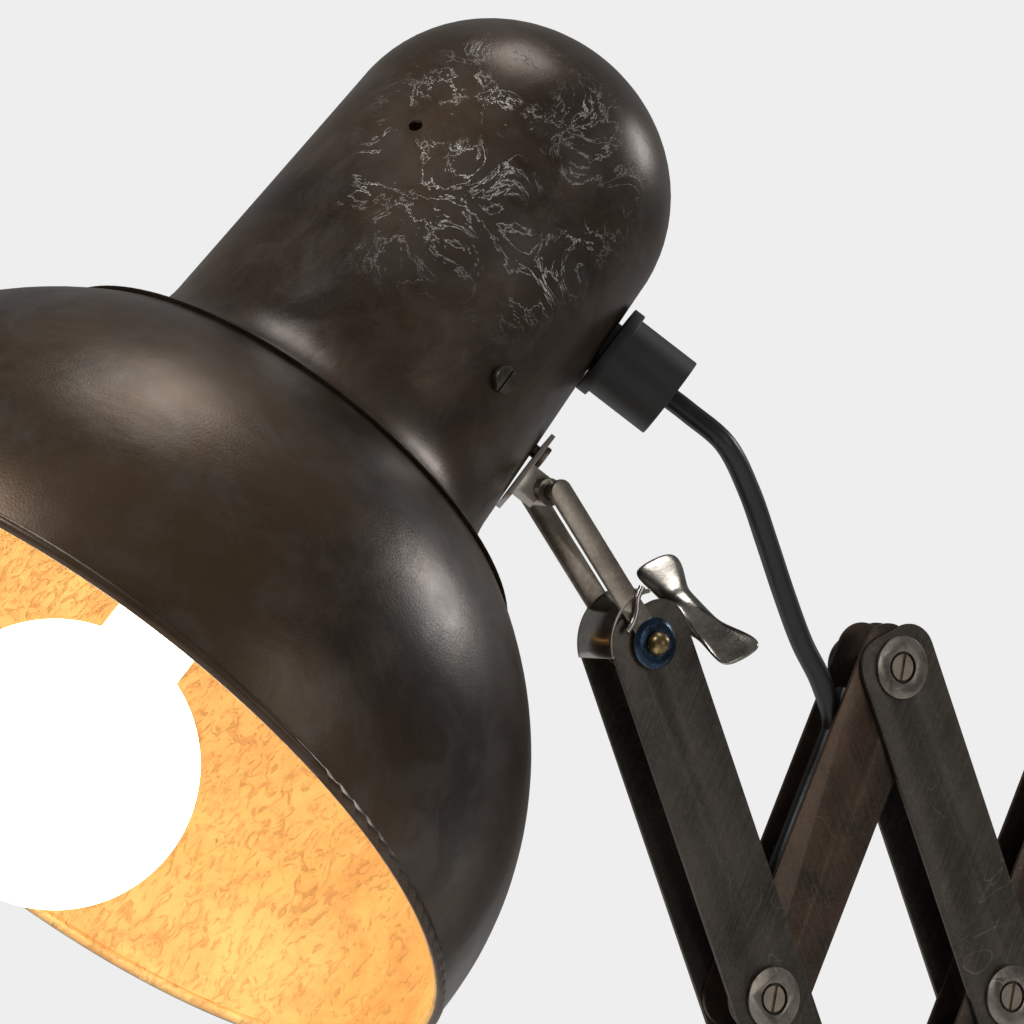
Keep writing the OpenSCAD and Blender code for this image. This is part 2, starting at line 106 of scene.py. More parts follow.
class Graph:
    """A short way to write shader nodes."""

    def __init__(self, tree: bpy.types.NodeTree) -> None:
        """Keeps the tree that the nodes go into."""
        self.tree = tree

    def node(self, kind: str, **values: object) -> bpy.types.Node:
        """Adds one node.

        Args:
            kind: The node's type, such as ShaderNodeTexNoise.
            values: Its properties and, where no property has the name, its inputs.

        Returns:
            The new node.
        """
        made = self.tree.nodes.new(kind)
        for name, value in values.items():
            if hasattr(made, name):
                setattr(made, name, value)
            else:
                self.set(made, name.replace("_", " "), value)
        return made

    def set(self, node: bpy.types.Node, name: str, value: object) -> None:
        """Links an output to the named input, or sets the input's own value.

        Args:
            node: The node that has the input.
            name: The input's name.
            value: An output socket, or a plain value.
        """
        target = node.inputs[name]
        if isinstance(value, bpy.types.NodeSocket):
            self.tree.links.new(value, target)
        else:
            target.default_value = value

    def noise(self, where: bpy.types.NodeSocket, scale: float, detail: float = 4.0,
              rough: float = 0.6, distort: float = 0.0) -> bpy.types.NodeSocket:
        """Adds a noise texture and returns its factor."""
        return self.node("ShaderNodeTexNoise", Vector=where, Scale=scale, Detail=detail,
                         Roughness=rough, Distortion=distort).outputs["Fac"]

    def span(self, value: bpy.types.NodeSocket, low: float, high: float, to_low: float = 0.0,
             to_high: float = 1.0) -> bpy.types.NodeSocket:
        """Maps a value smoothly from one range to another and returns it.

        Args:
            value: The value to map.
            low: The start of its range.
            high: The end of its range.
            to_low: What the start becomes.
            to_high: What the end becomes.

        Returns:
            The mapped value.
        """
        made = self.node("ShaderNodeMapRange", interpolation_type="SMOOTHSTEP")
        for name, given in (("Value", value), ("From Min", low), ("From Max", high),
                            ("To Min", to_low), ("To Max", to_high)):
            self.set(made, name, given)
        return made.outputs["Result"]

    def math(self, operation: str, a: object, b: object = 0.0) -> bpy.types.NodeSocket:
        """Adds a math node over two values and returns its result.

        Args:
            operation: The node's operation.
            a: The first value or socket.
            b: The second value or socket.

        Returns:
            The result's socket.
        """
        made = self.node("ShaderNodeMath", operation=operation)
        for index, given in enumerate((a, b)):
            if isinstance(given, bpy.types.NodeSocket):
                self.tree.links.new(given, made.inputs[index])
            else:
                made.inputs[index].default_value = given
        return made.outputs[0]

    def mix(self, factor: object, a: object, b: object) -> bpy.types.NodeSocket:
        """Mixes two colours and returns the result.

        Args:
            factor: How much of the second colour there is.
            a: The first colour.
            b: The second colour.

        Returns:
            The mixed colour's socket.
        """
        made = self.node("ShaderNodeMix", data_type="RGBA")
        for index, given in ((0, factor), (6, a), (7, b)):
            if isinstance(given, bpy.types.NodeSocket):
                self.tree.links.new(given, made.inputs[index])
            else:
                made.inputs[index].default_value = given
        return made.outputs[2]

    def stretched(self, scale: tuple[float, float, float],
                  turn: tuple[float, float, float] = (0, 0, 0)) -> bpy.types.NodeSocket:
        """Returns object coordinates turned, in radians, and then scaled.

        Args:
            scale: The scale along each axis.
            turn: The turn about each axis in radians.

        Returns:
            The vector's socket.
        """
        where = self.node("ShaderNodeTexCoord").outputs["Object"]
        turned = self.node("ShaderNodeMapping", Vector=where)
        turned.inputs["Rotation"].default_value = turn
        sized = self.node("ShaderNodeMapping", Vector=turned.outputs[0])
        sized.inputs["Scale"].default_value = scale
        return sized.outputs[0]


def rgb(text: str) -> tuple[float, float, float, float]:
    """Turns an sRGB hex colour into a linear one."""
    values = [int(text[i:i + 2], 16) / 255 for i in (1, 3, 5)]
    return tuple(v / 12.92 if v <= 0.04045 else ((v + 0.055) / 1.055) ** 2.4 for v in values) + (1.0,)


@dataclass(frozen=True)
class Finish:
    """A worn metal, paint or plastic surface.

    The base colour is clouded towards a second one, specks and scratches lie over it, and the
    edges wear to a third.
    """

    name: str
    base: str
    cloud: str
    edge: str
    metal: float = 0.0
    rough: float = 0.5
    rough_spread: float = 0.12
    cloud_scale: float = 22.0
    grain_scale: float = 900.0
    grain: float = 0.12
    scratch: float = 0.3
    wear: float = 0.35
    bump: float = 0.12
    brush: float = 0.0
    brush_turn: float = 0.0
    coat: float = 0.0

    def build(self) -> bpy.types.Material:
        """Makes the material.

        Returns:
            The new material, reading object coordinates only.
        """
        material = bpy.data.materials.new(self.name)
        material.use_nodes = True
        g = Graph(material.node_tree)
        shader = material.node_tree.nodes["Principled BSDF"]
        even = g.stretched((1, 1, 1))
        clouds = g.span(g.noise(even, self.cloud_scale, 6, 0.62, 0.4), 0.36, 0.66)
        fine = g.noise(even, self.grain_scale, 3, 0.6)
        colour = g.mix(clouds, rgb(self.base), rgb(self.cloud))
        colour = g.mix(g.span(fine, 0.45, 0.75, 0, self.grain), colour, rgb(self.edge))
        lines = self._scratches(g)
        colour = g.mix(g.math("MULTIPLY", lines, self.scratch), colour, rgb(self.edge))
        geometry = g.node("ShaderNodeNewGeometry")
        worn = g.span(geometry.outputs["Pointiness"], 0.515, 0.6, 0, self.wear)
        colour = g.mix(worn, colour, rgb(self.edge))
        rough = g.math("ADD", self.rough - self.rough_spread / 2,
                       g.math("MULTIPLY", g.noise(even, self.cloud_scale * 2.3, 5), self.rough_spread))
        height = g.math("ADD", g.math("MULTIPLY", fine, 0.25), g.math("MULTIPLY", lines, -0.5))
        if self.brush:
            along = g.stretched((60, 900, 4200), (0, self.brush_turn, 0))
            streak = g.noise(along, 1.0, 4, 0.7)
            height = g.math("ADD", height, g.math("MULTIPLY", streak, self.brush))
            rough = g.math("ADD", rough, g.span(streak, 0.3, 0.7, -0.06, 0.08))
            colour = g.mix(g.span(streak, 0.35, 0.8, 0, 0.22), colour, rgb(self.edge))
        bump = g.node("ShaderNodeBump", Height=height)
        bump.inputs["Strength"].default_value = self.bump
        bump.inputs["Distance"].default_value = 0.0006
        for name, value in (("Base Color", colour), ("Roughness", rough),
                            ("Normal", bump.outputs[0]), ("Metallic", self.metal),
                            ("Coat Weight", self.coat)):
            g.set(shader, name, value)
        return material

    def _scratches(self, g: Graph) -> bpy.types.NodeSocket:
        """Returns a mask of thin crossing scratches.

        Args:
            g: The graph to add to.

        Returns:
            The mask's socket.
        """
        total: object = 0.0
        for turn, scale in ((0.4, 26.0), (1.9, 17.0)):
            where = g.stretched((1, 5, 1), (turn, turn * 1.7, turn * 0.6))
            band = g.math("ABSOLUTE", g.math("SUBTRACT", g.noise(where, scale, 2, 0.5, 1.2), 0.5))
            thin = g.span(band, 0.0, 0.006, 1, 0)
            patch = g.span(g.noise(where, scale * 0.45, 2), 0.52, 0.64)
            total = g.math("ADD", total, g.math("MULTIPLY", thin, patch))
        return g.math("MINIMUM", total, 1.0)


@dataclass(frozen=True)
class PatinaFinish:
    """The dark brown patina of the shade and hood, golden and pitted on the inside."""

    name: str = "shade_patina"
    dark: str = "#241c15"
    brown: str = "#4a3826"
    grey: str = "#57504a"
    # The colour of the crease lines that are painted as the hood's highlight.
    bright: str = "#c9c6c0"
    gold: str = "#e0b878"
    gold_dark: str = "#7d5a34"

    def build(self) -> bpy.types.Material:
        """Makes the material; the inside is what faces the head's own axis.

        Returns:
            The new material.
        """
        material = bpy.data.materials.new(self.name)
        material.use_nodes = True
        g = Graph(material.node_tree)
        shader = material.node_tree.nodes["Principled BSDF"]
        even = g.stretched((1, 1, 1))
        broad = g.span(g.noise(even, 9, 5, 0.6, 0.5), 0.35, 0.65)
        small = g.span(g.noise(even, 46, 6, 0.65, 0.8), 0.42, 0.7)
        fine = g.noise(even, 1300, 2, 0.6)
        colour = g.mix(broad, rgb(self.dark), rgb(self.brown))
        colour = g.mix(g.math("MULTIPLY", small, 0.45), colour, rgb(self.grey))
        # Painted highlight: bright crease lines round one spot of the hood, with painted grey sheen and
        # scuff marks round it.
        creases_with_highlight, scuffs_with_sheen = self._crease_highlights(g)
        colour = g.mix(g.math("MULTIPLY", scuffs_with_sheen, 0.35), colour, rgb(self.grey))
        colour = g.mix(g.math("MULTIPLY", creases_with_highlight, 0.75), colour, rgb(self.bright))
        colour = g.mix(g.span(fine, 0.5, 0.8, 0, 0.25), colour, rgb(self.grey))
        inside = self._inside(g)
        pits = g.span(g.noise(g.stretched((1, 1, 2.6), (0.3, 0.9, 0.2)), 150, 5, 0.7, 1.5), 0.5, 0.64)
        mottle = g.span(g.noise(even, 30, 6, 0.7, 1.0), 0.35, 0.7)
        gold = g.mix(mottle, rgb(self.gold), rgb("#c99c62"))
        gold = g.mix(g.math("MULTIPLY", pits, 0.4), gold, rgb(self.gold_dark))
        g.set(shader, "Base Color", g.mix(inside, colour, gold))
        rough = g.math("ADD", 0.2, g.math("MULTIPLY", g.noise(even, 34, 6, 0.65), 0.24))
        g.set(shader, "Roughness", g.math("ADD", rough, g.math("MULTIPLY", inside, 0.28)))
        g.set(shader, "Metallic", g.math("SUBTRACT", 0.55, g.math("MULTIPLY", inside, 0.3)))
        height = g.math("ADD", g.math("MULTIPLY", fine, 0.12), g.math("MULTIPLY", creases_with_highlight, 0.7))
        height = g.math("ADD", height, g.math("MULTIPLY", broad, 0.5))
        height = g.math("ADD", height, g.math("MULTIPLY", g.math("MULTIPLY", pits, inside), -1.2))
        bump = g.node("ShaderNodeBump", Height=height)
        bump.inputs["Strength"].default_value = 0.32
        bump.inputs["Distance"].default_value = 0.001
        g.set(shader, "Normal", bump.outputs[0])
        return material

    def _crease_highlights(self, g: Graph) -> tuple[bpy.types.NodeSocket, bpy.types.NodeSocket]:
        """Returns the masks of the crease lines, painted bright as the hood's highlight round one spot and
        faint elsewhere, and of the grey scuff marks over the hood with painted sheen round that spot.

        Args:
            g: The graph to add to.

        Returns:
            The creases and the scuffs.
        """
        where = g.stretched((1, 1, 1), (0.2, 0.7, 0.1))
        band = g.math("ABSOLUTE", g.math("SUBTRACT", g.noise(where, 46, 6, 0.68, 1.8), 0.5))
        lines = g.span(band, 0.0, 0.012, 1, 0)
        spot = g.node("ShaderNodeTexCoord").outputs["Object"]
        # The painted highlight and sheen are centred on this spot of the hood.
        centre = side_point(-122, 52, 196) * MM
        away = g.node("ShaderNodeVectorMath", operation="DISTANCE")
        g.tree.links.new(spot, away.inputs[0])
        away.inputs[1].default_value = centre
        near_highlight = g.span(away.outputs["Value"], 0.016, 0.056, 1, 0)
        patch = g.span(g.noise(where, 60, 4, 0.6), 0.4, 0.56)
        highlight_patch = g.math("MULTIPLY", near_highlight, patch)
        far = g.math("MULTIPLY", g.span(g.noise(where, 15, 3, 0.6), 0.64, 0.74), 0.12)
        return g.math("MULTIPLY", lines, g.math("MAXIMUM", highlight_patch, far)), g.math("MAXIMUM", highlight_patch, far)

    def _inside(self, g: Graph) -> bpy.types.NodeSocket:
        """Returns 1 where the surface faces the head's axis.

        Args:
            g: The graph to add to.

        Returns:
            The mask's socket.
        """
        geometry = g.node("ShaderNodeNewGeometry")
        spot = g.node("ShaderNodeTexCoord").outputs["Object"]
        centre = head_point(0, 0, 0) * MM
        axis = (HEAD_TURN @ Vector((0, 0, 1)))
        out = g.node("ShaderNodeVectorMath", operation="SUBTRACT")
        g.tree.links.new(spot, out.inputs[0])
        out.inputs[1].default_value = centre
        along = g.node("ShaderNodeVectorMath", operation="DOT_PRODUCT")
        g.tree.links.new(out.outputs[0], along.inputs[0])
        along.inputs[1].default_value = axis
        flat = g.node("ShaderNodeVectorMath", operation="SCALE")
        flat.inputs[0].default_value = axis
        g.tree.links.new(along.outputs["Value"], flat.inputs["Scale"])
        radial = g.node("ShaderNodeVectorMath", operation="SUBTRACT")
        g.tree.links.new(out.outputs[0], radial.inputs[0])
        g.tree.links.new(flat.outputs[0], radial.inputs[1])
        normal = g.node("ShaderNodeVectorTransform", vector_type="NORMAL",
                        convert_from="WORLD", convert_to="OBJECT")
        g.tree.links.new(geometry.outputs["True Normal"], normal.inputs[0])
        side = g.node("ShaderNodeVectorMath", operation="DOT_PRODUCT")
        g.tree.links.new(radial.outputs[0], side.inputs[0])
        g.tree.links.new(normal.outputs[0], side.inputs[1])
        front = g.math("SUBTRACT", 1.0, g.math("MULTIPLY", geometry.outputs["Backfacing"], 2.0))
        facing = g.math("LESS_THAN", g.math("MULTIPLY", side.outputs["Value"], front), 0.0)
        return g.math("MULTIPLY", facing, g.math("LESS_THAN", along.outputs["Value"], 0.112))


@dataclass(frozen=True)
class BulbFinish:
    """The lit frosted glass of the globe bulb."""

    name: str = "bulb_lit"
    glow: str = "#ffe9c4"
    strength: float = 9.0

    def build(self) -> bpy.types.Material:
        """Makes the material, slightly uneven in its glow.

        Returns:
            The new material.
        """
        material = bpy.data.materials.new(self.name)
        material.use_nodes = True
        g = Graph(material.node_tree)
        shader = material.node_tree.nodes["Principled BSDF"]
        even = g.stretched((1, 1, 1))
        colour = g.mix(g.noise(even, 40), rgb("#fff4de"), rgb("#fbe6bf"))
        glow = g.mix(g.noise(even, 25), rgb(self.glow), rgb("#fff0d4"))
        g.set(shader, "Base Color", colour)
        g.set(shader, "Emission Color", glow)
        shader.inputs["Emission Strength"].default_value = self.strength
        shader.inputs["Roughness"].default_value = 0.25
        return material


FINISHES: dict[str, object] = {
    "front": Finish("bar_front", "#37322d", "#4b453e", "#8b8378", 0.85, 0.42, brush=0.35,
                    brush_turn=BAR_SLOPE, scratch=0.35, bump=0.1),
    "inner": Finish("bar_inner", "#2a221c", "#4a382b", "#8a7a6c", 0.8, 0.36, 0.2, 60.0, brush=0.25,
                    brush_turn=-BAR_SLOPE, scratch=0.3, bump=0.14),
    "ring": Finish("ring_steel", "#8d857a", "#5f574d", "#d9d3ca", 0.95, 0.3, cloud_scale=140.0, bump=0.12),
    "head_screw": Finish("screw_steel", "#5d4d3d", "#8a7763", "#d6ccbc", 0.9, 0.34, cloud_scale=200.0),
    "polished": Finish("polished_casting", "#a7a199", "#6e6860", "#efece6", 1.0, 0.2, 0.16, 70.0,
                       scratch=0.25, bump=0.2),
    "link": Finish("link_steel", "#6c6257", "#8b8175", "#d8d0c5", 0.9, 0.3, 0.14, 60.0, scratch=0.3),
    "blue": Finish("blued_spring", "#1d2733", "#2f4356", "#8fa7bd", 0.95, 0.22, 0.12, 90.0, scratch=0.2),
    "brass": Finish("worn_brass", "#8c7a55", "#6a5a40", "#dcc890", 0.95, 0.32, cloud_scale=220.0),
    "paint": Finish("dark_enamel", "#2f2c29", "#3a3632", "#7d776e", 0.3, 0.42, scratch=0.2, bump=0.16),
    "steel": Finish("plain_steel", "#7d786f", "#5d5850", "#cbc6bd", 0.95, 0.34, cloud_scale=60.0),
    "rubber": Finish("black_rubber", "#0c0c0b", "#151413", "#2c2a29", 0.0, 0.5, 0.14, 60.0, 1600.0, 0.1,
                     0.05, 0.1, 0.08),
    "cord": Finish("black_cord", "#0b0b0b", "#121111", "#262423", 0.0, 0.36, 0.1, 80.0, 2200.0, 0.08, 0.03,
                   0.0, 0.06),
    "porcelain": Finish("porcelain", "#eadfc9", "#d8cbb0", "#fff8ea", 0.0, 0.22, 0.08, 30.0, coat=0.4,
                        scratch=0.05, bump=0.05),
    "head_dark": Finish("dark_screw", "#2f2924", "#453a30", "#8e857a", 0.8, 0.36, cloud_scale=120.0),
    "shade": PatinaFinish(),
    "bulb": BulbFinish(),
}


class Wardrobe:
    """Builds each finish once and puts it on pieces."""

    def __init__(self) -> None:
        """Starts with no material made."""
        self.made: dict[str, bpy.types.Material] = {}

    def get(self, name: str) -> bpy.types.Material:
        """Returns the named material, making it the first time."""
        if name not in self.made:
            self.made[name] = FINISHES[name].build()
        return self.made[name]

    def dress(self, piece: bpy.types.Object, name: str) -> None:
        """Gives a piece one material all over."""
        piece.data.materials.clear()
        piece.data.materials.append(self.get(name))


WARDROBE = Wardrobe()


def alone(piece: bpy.types.Object) -> None:
    """Selects one piece and makes it active."""
    bpy.ops.object.select_all(action="DESELECT")
    piece.select_set(True)
    bpy.context.view_layer.objects.active = piece


def settle(piece: bpy.types.Object, angle: float = 35.0) -> None:
    """Applies a piece's place, turn and scale, and shades it smooth by angle."""
    alone(piece)
    bpy.ops.object.transform_apply(location=True, rotation=True, scale=True)
    bpy.ops.object.shade_smooth_by_angle(angle=math.radians(angle))


def bevelled(piece: bpy.types.Object, width: float, segments: int = 3) -> None:
    """Rounds a piece's sharp edges with an applied bevel, its width in millimetres.

    Args:
        piece: The piece.
        width: The bevel's width in millimetres.
        segments: How many steps the rounding has.
    """
    alone(piece)
    rounding = piece.modifiers.new("round", "BEVEL")
    rounding.width = width * MM
    rounding.segments = segments
    rounding.limit_method = "ANGLE"
    rounding.angle_limit = math.radians(32)
    bpy.ops.object.modifier_apply(modifier=rounding.name)


def smooth_line(points: list[Vector], per: int = 6) -> list[Vector]:
    """Returns points of a smooth curve through the given ones, in the same units.

    Args:
        points: The points that the curve passes through.
        per: How many points each stretch gets.

    Returns:
        The curve's points.
    """
    padded = [2 * points[0] - points[1], *points, 2 * points[-1] - points[-2]]
    out = []
    for i in range(1, len(padded) - 2):
        p0, p1, p2, p3 = padded[i - 1:i + 3]
        for j in range(per):
            t = j / per
            out.append(0.5 * (2 * p1 + (p2 - p0) * t + (2 * p0 - 5 * p1 + 4 * p2 - p3) * t ** 2
                              + (3 * p1 - p0 - 3 * p2 + p3) * t ** 3))
    return [*out, points[-1]]


def tube(name: str, line: list[Vector], radius: float, rings: int = 3) -> bpy.types.Object:
    """Sweeps a closed round tube.

    Args:
        name: The piece's name.
        line: Points of its middle line, in millimetres.
        radius: Its radius in millimetres.
        rings: How finely its section is divided.

    Returns:
        The mesh object.
    """
    curve = bpy.data.curves.new(name + "_line", "CURVE")
    curve.dimensions = "3D"
    curve.bevel_depth = radius * MM
    curve.bevel_resolution = rings
    curve.use_fill_caps = True
    spline = curve.splines.new("POLY")
    spline.points.add(len(line) - 1)
    for point, where in zip(spline.points, line):
        point.co = (*(where * MM), 1.0)
    piece = bpy.data.objects.new(name, curve)
    bpy.context.scene.collection.objects.link(piece)
    alone(piece)
    bpy.ops.object.convert(target="MESH")
    piece = bpy.context.object
    piece.name = name
    bpy.ops.object.shade_smooth_by_angle(angle=math.radians(50))
    return piece


def strip(name: str, line: list[Vector], across: Vector, width: float, thick: float,
          rounding: float = 0.3) -> bpy.types.Object:
    """Bends a flat metal strip along a line by extruding an edge through its points.

    Args:
        name: The piece's name.
        line: Points of the strip's middle line, in millimetres.
        across: The direction of its width.
        width: Its width in millimetres.
        thick: Its thickness in millimetres.
        rounding: The bevel of its edges in millimetres.

    Returns:
        The mesh object.
    """
    bpy.ops.object.select_all(action="DESELECT")
    bpy.ops.mesh.primitive_plane_add(size=1)
    piece = bpy.context.object
    piece.name = name
    half = across.normalized() * width / 2
    mesh = piece.data
    bpy.ops.object.mode_set(mode="EDIT")
    bpy.ops.mesh.select_all(action="DESELECT")
    bpy.ops.object.mode_set(mode="OBJECT")
    for vertex in mesh.vertices:
        side = 1 if vertex.co.x > 0 else -1
        first = vertex.co.y < 0
        vertex.co = ((line[0] if first else line[1]) + half * side) * MM
        vertex.select = not first
    for edge in mesh.edges:
        edge.select = all(mesh.vertices[v].select for v in edge.vertices)
    bpy.ops.object.mode_set(mode="EDIT")
    bpy.ops.mesh.select_mode(type="EDGE")
    for before, after in zip(line[1:], line[2:]):
        bpy.ops.mesh.extrude_region_move(TRANSFORM_OT_translate={"value": (after - before) * MM})
    bpy.ops.mesh.select_all(action="SELECT")
    bpy.ops.mesh.normals_make_consistent(inside=False)
    bpy.ops.object.mode_set(mode="OBJECT")
    alone(piece)
    sheet = piece.modifiers.new("sheet", "SOLIDIFY")
    sheet.thickness = thick * MM
    sheet.offset = 0
    bpy.ops.object.modifier_apply(modifier=sheet.name)
    bevelled(piece, rounding, 2)
    settle(piece, 40)
    return piece


def rounded_copy(node: str, width: float, finish: str, angle: float = 35.0) -> bpy.types.Object:
    """Copies a CAD node, merges its doubles, rounds its edges and stands it in for the node.

    Args:
        node: The CAD node's name.
        width: The rounding of its edges in millimetres, or 0 for none.
        finish: The name of its finish.
        angle: The angle in degrees up to which it is shaded smooth.

    Returns:
        The new piece, riding on the node's body.
    """
    source = frame["nodes"][node]
    piece = source.copy()
    piece.data = source.data.copy()
    piece.name = node + "_look"
    for key in list(piece.keys()):
        if key.startswith("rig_"):
            del piece[key]
    piece.parent = None
    piece.matrix_world = Matrix.Identity(4)
    bpy.context.scene.collection.objects.link(piece)
    alone(piece)
    if piece.data.has_custom_normals:
        bpy.ops.mesh.customdata_custom_splitnormals_clear()
    bpy.ops.object.mode_set(mode="EDIT")
    bpy.ops.mesh.select_all(action="SELECT")
    bpy.ops.mesh.remove_doubles(threshold=0.00001)
    bpy.ops.mesh.normals_make_consistent(inside=False)
    if width:
        bpy.ops.mesh.dissolve_limited(angle_limit=math.radians(0.5))
    bpy.ops.object.mode_set(mode="OBJECT")
    if width:
        bevelled(piece, width, 2)
    settle(piece, angle)
    WARDROBE.dress(piece, finish)
    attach(piece, NODE_BODY[node])
    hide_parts(node)
    return piece


NODE_BODY = {n: body for body, nodes in frame["record"]["behaviour"]["bodies"].items() for n in nodes}


@dataclass
class Studio:
    """The camera, the floor and the lights."""

    azimuth: float = -35.05
    elevation: float = -0.4
    roll: float = 1.5
    distance: float = 2412.0
    lens: float = 298.9
    aim_right: float = -38.6
    aim_up: float = 37.2

    def build(self) -> None:
        """Makes the camera first, then the floor and the lights."""
        self._camera()
        self._floor()
        self._lights()

    def axes(self) -> tuple[Vector, Vector, Vector]:
        """Returns the view's right, up and forward directions before the roll.

        Returns:
            The three unit vectors.
        """
        a, e = math.radians(self.azimuth), math.radians(self.elevation)
        right = Vector((math.cos(a), math.sin(a), 0))
        ahead = Vector((-math.sin(a) * math.cos(e), math.cos(a) * math.cos(e), -math.sin(e)))
        return right, right.cross(ahead), ahead

    def _camera(self) -> None:
        """Sets the camera that sees the head and the end of the arm."""
        right, up, ahead = self.axes()
        data = bpy.data.cameras.new("view")
        data.lens = self.lens
        data.sensor_width = 36.0
        data.clip_end = 50.0
        camera = bpy.data.objects.new("view", data)
        bpy.context.scene.collection.objects.link(camera)
        roll = math.radians(self.roll)
        turned_right = right * math.cos(roll) + up * math.sin(roll)
        turned_up = up * math.cos(roll) - right * math.sin(roll)
        target = TILT + Vector((0, -6.5, 0)) + turned_right * self.aim_right + turned_up * self.aim_up
        place = (target - ahead * self.distance) * MM
        turn = Matrix((turned_right, turned_up, -ahead)).transposed().to_4x4()
        camera.matrix_world = Matrix.Translation(place) @ turn
        bpy.context.scene.camera = camera

    def _floor(self) -> None:
        """Lays a plain pale floor under the whole object and a matching sky."""
        bpy.ops.object.select_all(action="DESELECT")
        low = CAD_BOX[0][2]
        bpy.ops.mesh.primitive_plane_add(size=3.4, location=(-0.3, 0.0, low - 0.001))
        floor = bpy.context.object
        floor.name = "floor"
        material = bpy.data.materials.new("floor_pale")
        material.use_nodes = True
        g = Graph(material.node_tree)
        shade = g.mix(g.noise(g.stretched((1, 1, 1)), 3.0), rgb("#e9e9e9"), rgb("#ececec"))
        g.set(material.node_tree.nodes["Principled BSDF"], "Base Color", shade)
        material.node_tree.nodes["Principled BSDF"].inputs["Roughness"].default_value = 0.9
        floor.data.materials.append(material)
        world = bpy.data.worlds.new("pale")
        world.use_nodes = True
        g = Graph(world.node_tree)
        seen = g.node("ShaderNodeLightPath").outputs["Is Camera Ray"]
        ground = world.node_tree.nodes["Background"]
        g.set(ground, "Color", rgb("#eeeeee"))
        g.set(ground, "Strength", g.math("ADD", 0.24, g.math("MULTIPLY", seen, 0.76)))
        bpy.context.scene.world = world
        bpy.context.scene.view_settings.view_transform = "Standard"

    def _lights(self) -> None:
        """Adds the key, fill, top, rim and streak softboxes round the head."""
        right, up, ahead = self.axes()
        middle = (TILT + Vector((-60, 0, 20))) * MM
        for name, side, rise, back, size, power in (
                ("key", -1.1, 1.5, -1.2, 0.7, 17.0), ("fill", 1.8, 0.3, -1.4, 0.9, 4.0),
                ("top", 0.3, 1.9, 0.3, 0.7, 10.0), ("rim", 1.6, 0.7, 0.9, 0.4, 7.0),
                ("streak", -1.15, 0.75, -0.5, 0.28, 9.0)):
            data = bpy.data.lights.new(name, "AREA")
            data.size = size
            data.energy = power
            lamp = bpy.data.objects.new(name, data)
            bpy.context.scene.collection.objects.link(lamp)
            lamp.location = middle + right * side + up * rise + ahead * back
            lamp.rotation_euler = (lamp.location - middle).to_track_quat("Z", "Y").to_euler()


@dataclass
class Cords:
    """The free cords: the stretch from the gland to the arm, and the coiled mains lead."""

    coil_centre: Vector = field(default_factory=lambda: Vector((-66.0, 105.0, 0.0)))
    coil_r: float = 40.75
    coil_low: float = 3.3
    coil_high: float = 9.1
    ring_step: float = 6.3

    def build(self) -> None:
        """Makes the cords first of all the pieces."""
        self._mains()
        self._free()
        self._base()

    def _declare(self, piece: bpy.types.Object) -> None:
        """Dresses a cord.

        Args:
            piece: The cord's mesh.
        """
        WARDROBE.dress(piece, "cord")

    def _free(self) -> None:
        """Sweeps the stretch that hangs from the gland into the third inner bar."""
        t = TILT
        out = side_point(-26, 74, 196)
        a = math.radians(-26)
        way = HEAD_TURN @ Vector((math.cos(a), math.sin(a), 0))
        points = [out, out + way * 8, t + Vector((20, -14, 57)), t + Vector((31, -11, 44)),
                  t + Vector((41, -7, 29)), t + Vector((50, -4, 14)), t + Vector((58, -2, 1)),
                  t + Vector((66, -1, -10)), t + Vector((71, 0, -21)), t + Vector((69, 0, -32))]
        line = smooth_line(points)
        half = 27
        for name, part, bodies in (("cord_upper", line[:half + 1], ("head", "outer_3")),
                                   ("cord_lower", line[half:], ("outer_3", "inner_3"))):
            piece = tube(name, part, CORD_R)
            self._declare(piece)
            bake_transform(piece)

    def _base(self) -> None:
        """Bends the cord from the post's side hole into the first outer bar."""
        points = [Vector(p) for p in ((-12, 0, 130), (-17, 0, 130), (-23, 0, 131.5), (-28, 0, 134),
                                      (-31.5, 0, 138.5))]
        line = smooth_line(points)
        piece = tube("cord_at_post", line, CORD_R)
        WARDROBE.dress(piece, "cord")
        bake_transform(piece)

    def _mains(self) -> None:
        """Winds the mains lead from the strain relief to the plug."""
        points = [Vector(p) for p in (
            (0, 5, 17), (0, 14, 17), (0, 23, 17), (0, 31, 17), (0, 39, 17), (0, 46, 15), (-1, 54, 11.5),
            (-2, 62, 7.5), (-4, 70, 4.6), (-7, 78, 3.4), (-12, 86, 3.3), (-18, 93, 3.3), (-23, 99, 3.3))]
        slots = [(ring * self.ring_step, height) for ring, height in (
            (0, self.coil_low), (0, self.coil_high), (1, self.coil_high), (1, self.coil_low),
            (2, self.coil_low), (2, self.coil_high), (2, self.coil_high))]
        per_turn = 20
        for turn in range(6):
            for i in range(per_turn):
                part = i / per_turn
                ease = max(0.0, (part - 0.75) / 0.25)
                (in_a, z_a), (in_b, z_b) = slots[turn], slots[turn + 1]
                angle = 2 * math.pi * part
                radius = self.coil_r - in_a - (in_b - in_a) * ease
                points.append(self.coil_centre + Vector((
                    radius * math.cos(angle), radius * math.sin(angle), z_a + (z_b - z_a) * ease)))
        line = smooth_line(points, 3)
        piece = tube("mains_cord", line, CORD_R, 2)
        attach(piece, "clamp")
        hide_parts("mains_lead", "mains_coil")
        self._declare(piece)


